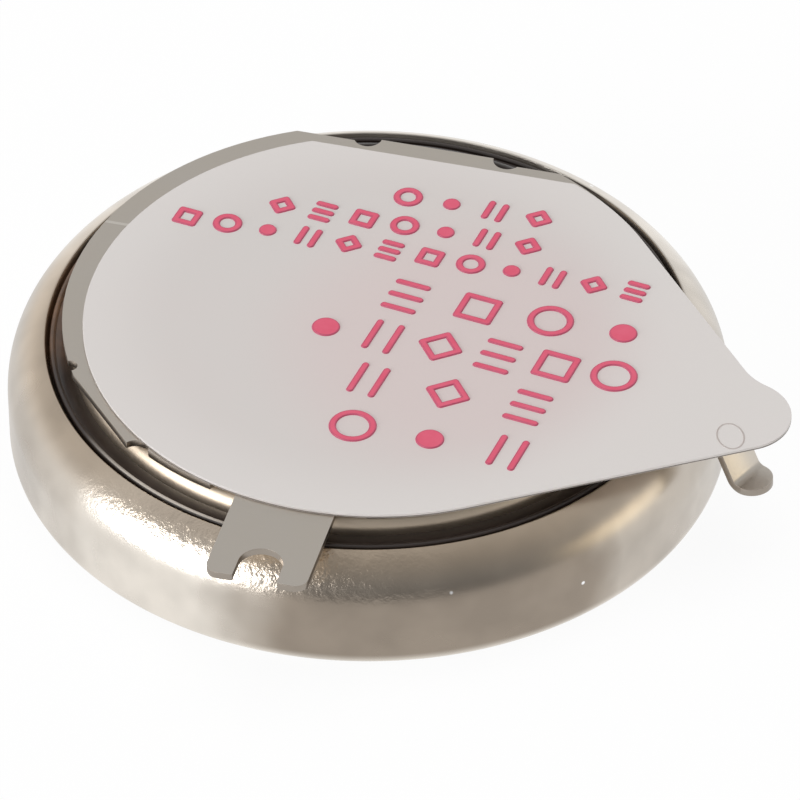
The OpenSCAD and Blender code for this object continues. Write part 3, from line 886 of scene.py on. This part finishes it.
def plateOutline():
    disc = lead["discRadius"]
    wing = lead["wingRadius"]
    relief = lead["reliefRadius"]
    points = forkedEnd()

    # relief beside the tab, then the disc as far as the arm
    reliefHeight = -math.sqrt(disc ** 2 - (tab["half"] + relief) ** 2)
    centre = (tab["middle"] + tab["half"] + relief, reliefHeight)
    leave = meetOnCircle(disc, centre, relief, 1)
    points += bite(centre, relief, (tab["middle"] + tab["half"], reliefHeight), polar(disc, leave))
    armRight = armEdgeBearing(arm["aside"] - arm["half"])
    armLeft = armEdgeBearing(arm["aside"] + arm["half"])
    points += arc((0, 0), disc, leave, armRight)
    points += [alongArm(arm["bendStart"], arm["aside"] - arm["half"]),
               alongArm(arm["bendStart"], arm["aside"] + arm["half"])]

    # the disc to the back edge, and the tongue between its reliefs
    back = lead["backEdge"]
    backCorner = math.degrees(math.asin(back / disc))
    points += arc((0, 0), disc, armLeft, backCorner)
    half = lead["tongueHalf"]
    across = math.sqrt(relief ** 2 - (lead["tongueEdge"] - back) ** 2)
    for side in (1, -1):
        centre = (side * (half + relief), lead["tongueEdge"])
        outside = (centre[0] + side * across, back)
        inside = (side * half, lead["tongueEdge"])
        points += bite(centre, relief, *((outside, inside) if side > 0 else (inside, outside)))

    # the wing, its straight corner and the reliefs at both of its ends
    smallRelief = wing - disc
    bigRelief = smallRelief + lead["chordIn"]
    points += arc((0, 0), wing, 180 - math.degrees(math.asin(back / wing)),
                  lead["wingTo"] - 2 * math.degrees(math.asin(smallRelief / 2 / wing)))
    centre = polar(wing, lead["wingTo"])
    entry = lead["wingTo"] + 2 * math.degrees(math.asin(smallRelief / 2 / wing))
    points += bite(centre, smallRelief, points[-1], polar(wing, entry))
    middle = (lead["wingTo"] + lead["cornerTo"]) / 2
    spread = math.degrees(math.acos((wing - lead["chordIn"]) / wing))
    points += [polar(wing, middle - spread), polar(wing, middle + spread)]
    centre = polar(wing, lead["cornerTo"])
    entry = lead["cornerTo"] - 2 * math.degrees(math.asin(bigRelief / 2 / wing))
    leave = meetOnCircle(disc, centre, bigRelief, 1) % 360
    points += bite(centre, bigRelief, polar(wing, entry), polar(disc, leave))

    # the disc back to the tab
    centre = (tab["middle"] - tab["half"] - relief, reliefHeight)
    entry = meetOnCircle(disc, centre, relief, -1) % 360
    points += arc((0, 0), disc, leave, entry)
    points += bite(centre, relief, polar(disc, entry), (tab["middle"] - tab["half"], reliefHeight))
    return withoutDoubles(points)


def armStations():
    # (distance ahead of the bend's start, height, half width) down the arm's middle line: the bend at the
    # plate, the straight leg, the turn of the foot and its half round end
    slope = math.radians(arm["slope"])
    rise = math.radians(arm["footRise"])
    stations = []
    for k in range(1, arm["bendSteps"] + 1):
        turn = slope * k / arm["bendSteps"]
        stations.append((arm["bendRadius"] * math.sin(turn), -arm["bendRadius"] * (1 - math.cos(turn))))
    ahead, height = stations[-1]
    for k in range(1, arm["legSteps"] + 1):
        down = arm["leg"] * k / arm["legSteps"]
        stations.append((ahead + down * math.cos(slope), height - down * math.sin(slope)))
    ahead, height = stations[-1]
    footAhead = ahead + arm["footRadius"] * math.sin(slope)
    footHeight = height + arm["footRadius"] * math.cos(slope)
    for k in range(1, arm["footSteps"] + 1):
        turn = -slope + (slope + rise) * k / arm["footSteps"]
        stations.append((footAhead + arm["footRadius"] * math.sin(turn),
                         footHeight - arm["footRadius"] * math.cos(turn)))
    ahead, height = stations[-1]
    widths = [arm["half"]] * len(stations)
    endStart = ahead + arm["footLength"] * math.cos(rise) - arm["half"]
    for k in range(1, arm["endSteps"] + 1):
        turn = math.radians(90 * k / arm["endSteps"])
        onRound = endStart + arm["half"] * math.sin(turn)
        if onRound <= ahead:
            continue
        stations.append((onRound, height + (onRound - ahead) * math.tan(rise)))
        widths.append(arm["half"] * math.cos(turn))
    return [(ahead, height, width) for (ahead, height), width in zip(stations, widths)]


def leadMesh():
    bm = bmesh.new()
    level = lead["bottom"] + lead["thickness"] / 2

    def vertex(point, drop=0):
        return bm.verts.new((point[0] * mm, point[1] * mm, (level + drop) * mm))

    outline = plateOutline()
    ring = [vertex(point) for point in outline]
    bm.faces.new(ring)
    starts = [alongArm(arm["bendStart"], arm["aside"] + side * arm["half"]) for side in (-1, 1)]
    row = [min(ring, key=lambda v: (v.co.xy - Vector(start) * mm).length) for start in starts]
    for ahead, height, width in armStations():
        if width < lead["edgeRound"]:
            tip = vertex(alongArm(arm["bendStart"] + ahead, arm["aside"]), height)
            bm.faces.new((row[0], tip, row[1]))
            break
        nextRow = [vertex(alongArm(arm["bendStart"] + ahead, arm["aside"] + side * width), height)
                   for side in (-1, 1)]
        bm.faces.new((row[0], nextRow[0], nextRow[1], row[1]))
        row = nextRow
    return finishedMesh(bm, "lead_plate")


leadPiece = newPiece("lead_plate", leadMesh(), "lead_plate", rolledStainless())
sheet = leadPiece.modifiers.new("sheet", "SOLIDIFY")
sheet.thickness = lead["thickness"] * mm
sheet.offset = 0
sheet.use_even_offset = True
sheet.material_offset_rim = 1    # a second slot tells the cut edges apart, until "cut" holds it
leadPiece.data.materials.append(leadPiece.data.materials[0])
rollover = leadPiece.modifiers.new("rollover", "BEVEL")
rollover.width = lead["edgeRound"] * mm
rollover.segments = 2
rollover.limit_method = "ANGLE"
rollover.angle_limit = math.radians(lead["sharpAngle"])
applyModifiers(leadPiece)
cutEdges = leadPiece.data.attributes.new("cut", "FLOAT", "FACE")
for polygon in leadPiece.data.polygons:
    cutEdges.data[polygon.index].value = polygon.material_index
    polygon.material_index = 0
leadPiece.data.materials.pop(index=1)
smoothMesh(leadPiece.data, lead["sharpAngle"])
flattenNormals(leadPiece)
print("lead plate made")


# the film, a round label with a tail over the contact arm
film = {
    "bottom": lowCorner("film").z,
    "top": highCorner("film").z,
    "centre": (0.16, -0.11),
    "radius": 3.85,
    "backEdge": highCorner("film").y,
    "tailBearing": -7.5,
    "tailRadius": 0.67,
    "tailNeck": 0.47,            # half width where the back edge runs into the tail
    "tailFillet": 0.8,
    "edgeRound": 0.004,
    "sharpAngle": 12,
}
film["tailDistance"] = ((highCorner("film").x - film["tailRadius"] - film["centre"][0])
                        / math.cos(math.radians(film["tailBearing"])))
dimple = {
    "ahead": 5.04,               # pressed ring near the tail's front edge
    "aside": -0.46,
    "halfLong": 0.17,
    "halfWide": 0.245,
    "lean": 30,
    "line": 0.018,
    "height": 0.004,
    "points": 48,
}


def filmOutline():
    # in the tail's own axes first, anticlockwise from the lower edge's start
    distance = film["tailDistance"]
    low = 90 - math.degrees(math.asin((film["radius"] - film["tailRadius"]) / distance))
    high = 90 - math.degrees(math.asin((film["radius"] - film["tailNeck"]) / distance))
    lobe = (distance, 0)
    lift = film["tailNeck"] + film["tailFillet"]
    reach = math.sqrt((film["tailRadius"] + film["tailFillet"]) ** 2 - lift ** 2)
    across = polar(1, high)
    along = polar(1, high - 90)
    fillet = (distance + lift * across[0] - reach * along[0], lift * across[1] - reach * along[1])
    toFillet = bearingOf(fillet, lobe)
    points = arc(lobe, film["tailRadius"], -low, toFillet, step=4)
    points += arc(fillet, film["tailFillet"], toFillet + 180, high + 180, step=3)
    points += arc((0, 0), film["radius"], high, 360 - low, step=1.5)
    placed = [turned(point, film["tailBearing"]) for point in points]
    placed = [(film["centre"][0] + x, film["centre"][1] + y) for x, y in placed]
    return withoutDoubles(clipAbove(placed, film["backEdge"]))


def dimpleLoop(grow):
    centre = turned((dimple["ahead"], dimple["aside"]), film["tailBearing"])
    points = []
    for k in range(dimple["points"]):
        x, y = polar(1, 360 * k / dimple["points"])
        x, y = turned((x * (dimple["halfLong"] + grow), y * (dimple["halfWide"] + grow)),
                      film["tailBearing"] + dimple["lean"])
        points.append((film["centre"][0] + centre[0] + x, film["centre"][1] + centre[1] + y))
    return points


def filmMesh():
    bm = bmesh.new()
    markLayer = bm.verts.layers.float.new("mark")
    outline = filmOutline()
    bottom = loopOf(bm, outline, film["bottom"])
    side = loopOf(bm, outline, film["top"] - film["edgeRound"])
    rim = loopOf(bm, inset(outline, film["edgeRound"]), film["top"])
    bm.faces.new(reversed(bottom))
    bridge(bm, bottom, side)
    bridge(bm, side, rim)
    outside = loopOf(bm, dimpleLoop(dimple["line"]), film["top"])
    crest = loopOf(bm, dimpleLoop(0), film["top"] + dimple["height"])
    inside = loopOf(bm, dimpleLoop(-dimple["line"]), film["top"])
    for vert in crest:
        vert[markLayer] = 1
    bridge(bm, outside, crest)
    bridge(bm, crest, inside)
    bm.faces.new(inside)
    edges = [bm.edges.get((loop[k - 1], loop[k])) for loop in (rim, outside) for k in range(len(loop))]
    bmesh.ops.triangle_fill(bm, use_beauty=True, use_dissolve=False, edges=edges)
    return finishedMesh(bm, "film")


filmPiece = newPiece(
    "film", filmMesh(), "film", polyesterFilm(film["centre"], film["bottom"], film["top"]))
smoothMesh(filmPiece.data, film["sharpAngle"])
print("film made")


# the print, rows of plain motifs in raised ink
ink = {
    "bottom": lowCorner("print_marks").z,
    "top": highCorner("print_marks").z,
    "stroke": 0.1,
    "small": 0.4,                # heights of the motifs
    "large": 0.62,
    "gap": 0.12,
    "lean": 8,
    "rimWidth": 0.012,           # the outline slopes up over the first, and is darker as far as the second
    "coreWidth": 0.03,
    "corner": 0.05,
    "leastCorner": 0.002,
    "cornerPoints": 10,
    "motifStep": 5,              # the next motif of a row is so many places on in the list
}
motifs = ("ring", "frame", "bars", "lozenge", "posts", "spot")
motifShares = {                  # in heights of the motif
    "frame": 0.86,
    "lozenge": 0.74,
    "barLength": 0.8,
    "postsApart": 0.24,
    "spot": 0.6,
}
inkRows = (                      # middle, left end and right end in film radii, motif height, first motif
    (0.66, -0.12, 0.45, "small", 0),
    (0.505, -0.53, 0.45, "small", 3),
    (0.36, -0.83, 0.86, "small", 1),
    (0.135, -0.02, 0.9, "large", 2),
    (-0.09, -0.24, 0.92, "large", 5),
    (-0.32, -0.03, 0.68, "large", 4),
    (-0.56, -0.02, 0.67, "large", 0),
)


def roundedBox(width, height, corner, turn):
    # closed outline with the same number of points on each corner, so that outlines can be bridged
    perCorner = ink["cornerPoints"]
    corner = max(corner, ink["leastCorner"])
    points = []
    for quarter in range(4):
        start = 90 * quarter
        sideX = 1 if quarter in (0, 3) else -1
        sideY = 1 if quarter < 2 else -1
        centre = (sideX * (width / 2 - corner), sideY * (height / 2 - corner))
        points += [polar(corner, start + 90 * k / (perCorner - 1), centre) for k in range(perCorner)]
    return [turned(point, turn) for point in points]


def motifParts(motif, height):
    # each part is (width, height, corner radius, turn, (offset right, offset up), hollow)
    stroke = ink["stroke"]
    if motif == "ring":
        return [(height, height, height / 2, 0, (0, 0), True)]
    if motif == "bars":
        length = height * motifShares["barLength"]
        lift = (height - stroke) / 2
        return [(length, stroke, stroke / 2, 0, (0, k * lift), False) for k in (-1, 0, 1)]
    if motif == "posts":
        apart = height * motifShares["postsApart"]
        return [(stroke, height, stroke / 2, 0, (k * apart, 0), False) for k in (-1, 1)]
    side = height * motifShares[motif]
    if motif == "spot":
        return [(side, side, side / 2, 0, (0, 0), False)]
    return [(side, side, ink["corner"], 45 if motif == "lozenge" else 0, (0, 0), True)]


def addInkPart(bm, rimLayer, part, place):
    width, height, corner, turn, offset, hollow = part

    def loop(shrink, level, rim):
        placed = []
        for x, y in roundedBox(width - 2 * shrink, height - 2 * shrink, corner - shrink, turn):
            x, y = turned((x + offset[0], y + offset[1]), -ink["lean"])
            placed.append((place[0] + x, place[1] + y))
        verts = loopOf(bm, placed, level)
        for vert in verts:
            vert[rimLayer] = rim
        return verts

    stroke = ink["stroke"]
    loops = [
        loop(0, ink["bottom"], 1),
        loop(ink["rimWidth"], ink["top"], 1),
        loop(ink["coreWidth"], ink["top"], 0),
    ]
    if hollow:
        loops += [
            loop(stroke - ink["coreWidth"], ink["top"], 0),
            loop(stroke - ink["rimWidth"], ink["top"], 1),
            loop(stroke, ink["bottom"], 1),
        ]
    for lower, upper in zip(loops, loops[1:]):
        bridge(bm, lower, upper)
    if hollow:
        bridge(bm, loops[-1], loops[0])
    else:
        bm.faces.new(loops[-1])
        bm.faces.new(reversed(loops[0]))


def inkMesh():
    bm = bmesh.new()
    rimLayer = bm.verts.layers.float.new("rim")
    for middle, left, right, size, first in inkRows:
        height = ink[size]
        start = left * film["radius"]
        length = (right - left) * film["radius"] - height
        count = math.floor(length / (height + ink["gap"])) + 1
        for k in range(count):
            place = (film["centre"][0] + start + height / 2 + length * k / (count - 1),
                     film["centre"][1] + middle * film["radius"])
            motif = motifs[(first + ink["motifStep"] * k) % len(motifs)]
            for part in motifParts(motif, height):
                addInkPart(bm, rimLayer, part, place)
    return finishedMesh(bm, "print_marks")


inkPiece = newPiece("print_marks", inkMesh(), "print_marks", screenInk())
smoothMesh(inkPiece.data)
print("print made")


cameraView = {
    "place": (15.6761, -58.5040, 52.2641),
    "aim": (0.5601, -0.5149, 0.9),
    "roll": 0.192,               # degrees
    "lens": 271.66,
    "sensor": 36,
    "clip": (1, 10000),
}
cameraData = bpy.data.cameras.new("camera")
cameraData.lens = cameraView["lens"]
cameraData.sensor_width = cameraView["sensor"]
cameraData.clip_start = cameraView["clip"][0] * mm
cameraData.clip_end = cameraView["clip"][1] * mm
camera = bpy.data.objects.new("camera", cameraData)
bpy.context.scene.collection.objects.link(camera)
cameraPlace = Vector(cameraView["place"]) * mm
aimed = (Vector(cameraView["aim"]) * mm - cameraPlace).to_track_quat("-Z", "Y")
roll = Matrix.Rotation(math.radians(cameraView["roll"]), 4, "Z")
camera.matrix_world = Matrix.Translation(cameraPlace) @ aimed.to_matrix().to_4x4() @ roll
bpy.context.scene.camera = camera

floor = {
    "size": 1200,
    "below": 0.004,              # keeps the paper clear of the can's base
    "colour": "#fafafa",
    "paper": 0.93,               # share of the floor that shows plain white; the rest holds the shadow
}


def whitePaper():
    # Seamless paper: plain white, with the object's soft shadow on it
    material, tree, shader = newMaterial(
        "seamless_paper", Roughness=0.9, Base_Color=hexLinear(floor["colour"]), Specular_IOR_Level=0)
    path = addNode(tree, "LightPath")
    seen = addNode(tree, "Math", {"operation": "ADD", "use_clamp": True}, {
        0: path.outputs["Is Camera Ray"], 1: path.outputs["Is Glossy Ray"]})
    seenToo = addNode(tree, "Math", {"operation": "ADD", "use_clamp": True}, {
        0: seen.outputs[0], 1: path.outputs["Is Transmission Ray"]})
    share = addNode(tree, "Math", multiply, {0: seenToo.outputs[0], 1: floor["paper"]})
    glow = addNode(tree, "Emission", None, {"Color": (1, 1, 1, 1), "Strength": 1})
    both = addNode(tree, "MixShader", None, {
        0: share.outputs[0], 1: shader.outputs[0], 2: glow.outputs[0]})
    tree.links.new(both.outputs[0], tree.nodes["Material Output"].inputs["Surface"])
    return material


floorMesh = bpy.data.meshes.new("floor")
half = floor["size"] / 2 * mm
floorCorners = [(-half, -half, 0), (half, -half, 0), (half, half, 0), (-half, half, 0)]
floorMesh.from_pydata(floorCorners, [], [(0, 1, 2, 3)])
floorMesh.materials.append(whitePaper())
floorPiece = bpy.data.objects.new("floor", floorMesh)
floorPiece.location.z = -floor["below"] * mm
bpy.context.scene.collection.objects.link(floorPiece)

studio = {
    "backHorizon": 1.0,          # white all round, up to a little above the horizon
    "frontHorizon": 0.34,        # less so towards the front
    "backCeiling": 0.64,         # the room above is darker
    "frontCeiling": 0.36,
    "frontBearing": -75,
    "frontSide": (-0.3, 0.8),    # cosines of the angle from there, where the front fades in and is full
    "ceilingFrom": (0.1, 0.4),   # sines of the height above the horizon
    "fill": 0.6,                 # share of the world's light that falls on matt surfaces
}


def studioWorld():
    world = bpy.data.worlds.new("studio")
    world.use_nodes = True
    tree = world.node_tree
    direction = addNode(tree, "TexCoord").outputs["Generated"]
    height = addNode(tree, "SeparateXYZ", None, {"Vector": direction}).outputs["Z"]
    front = onSide(tree, direction, studio["frontBearing"], studio["frontSide"])
    ceiling = addNode(tree, "Mix", {"data_type": "FLOAT"}, {
        0: front, 2: studio["backCeiling"], 3: studio["frontCeiling"]})
    horizon = addNode(tree, "Mix", {"data_type": "FLOAT"}, {
        0: front, 2: studio["backHorizon"], 3: studio["frontHorizon"]})
    above = addNode(tree, "MapRange", smoothStep, {"Value": height, **ramp(*studio["ceilingFrom"])})
    room = addNode(tree, "Mix", {"data_type": "FLOAT"}, {
        0: above.outputs["Result"], 2: horizon.outputs[0], 3: ceiling.outputs[0]})
    path = addNode(tree, "LightPath")
    matt = addNode(tree, "MapRange", None, {
        "Value": path.outputs["Is Diffuse Ray"], **ramp(0, 1, 1, studio["fill"])})
    strength = addNode(tree, "Math", multiply, {0: room.outputs[0], 1: matt.outputs["Result"]})
    tree.links.new(strength.outputs[0], tree.nodes["Background"].inputs["Strength"])
    tree.nodes["Background"].inputs["Color"].default_value = (1, 1, 1, 1)
    bpy.context.scene.world = world


lamps = {                        # bearing and height in degrees, distance and size in mm, power in watts
    "key": {                     # broad highlight on the near left shoulder
        "bearing": 229,
        "height": 14,
        "distance": 400,
        "size": (340, 190),
        "power": 1.2,
        "colour": "#ffffff",
        "mirrored": True,
    },
    "side": {                    # warm streak along the right shoulder
        "bearing": 2,
        "height": 8,
        "distance": 400,
        "size": (230, 150),
        "power": 0.108,
        "colour": "#ffecc4",
        "mirrored": True,
    },
    "top": {                     # lights what is matt, and doesn't show in the metal
        "bearing": 100,
        "height": 78,
        "distance": 500,
        "size": (420, 420),
        "power": 1.43,
        "colour": "#ffffff",
        "mirrored": False,
    },
}


def addLamp(name, lamp):
    data = bpy.data.lights.new(name, "AREA")
    data.shape = "RECTANGLE"
    data.size = lamp["size"][0] * mm
    data.size_y = lamp["size"][1] * mm
    data.energy = lamp["power"]
    data.color = hexLinear(lamp["colour"])[:3]
    holder = bpy.data.objects.new(name, data)
    flat = polar(math.cos(math.radians(lamp["height"])), lamp["bearing"])
    toward = Vector((*flat, math.sin(math.radians(lamp["height"]))))
    holder.location = toward * lamp["distance"] * mm
    holder.rotation_euler = toward.to_track_quat("Z", "Y").to_euler()
    holder.visible_glossy = lamp["mirrored"]
    bpy.context.scene.collection.objects.link(holder)


studioWorld()
for lampName, lampSettings in lamps.items():
    addLamp(lampName, lampSettings)
bpy.context.scene.view_settings.view_transform = "Standard"
print("studio ready")
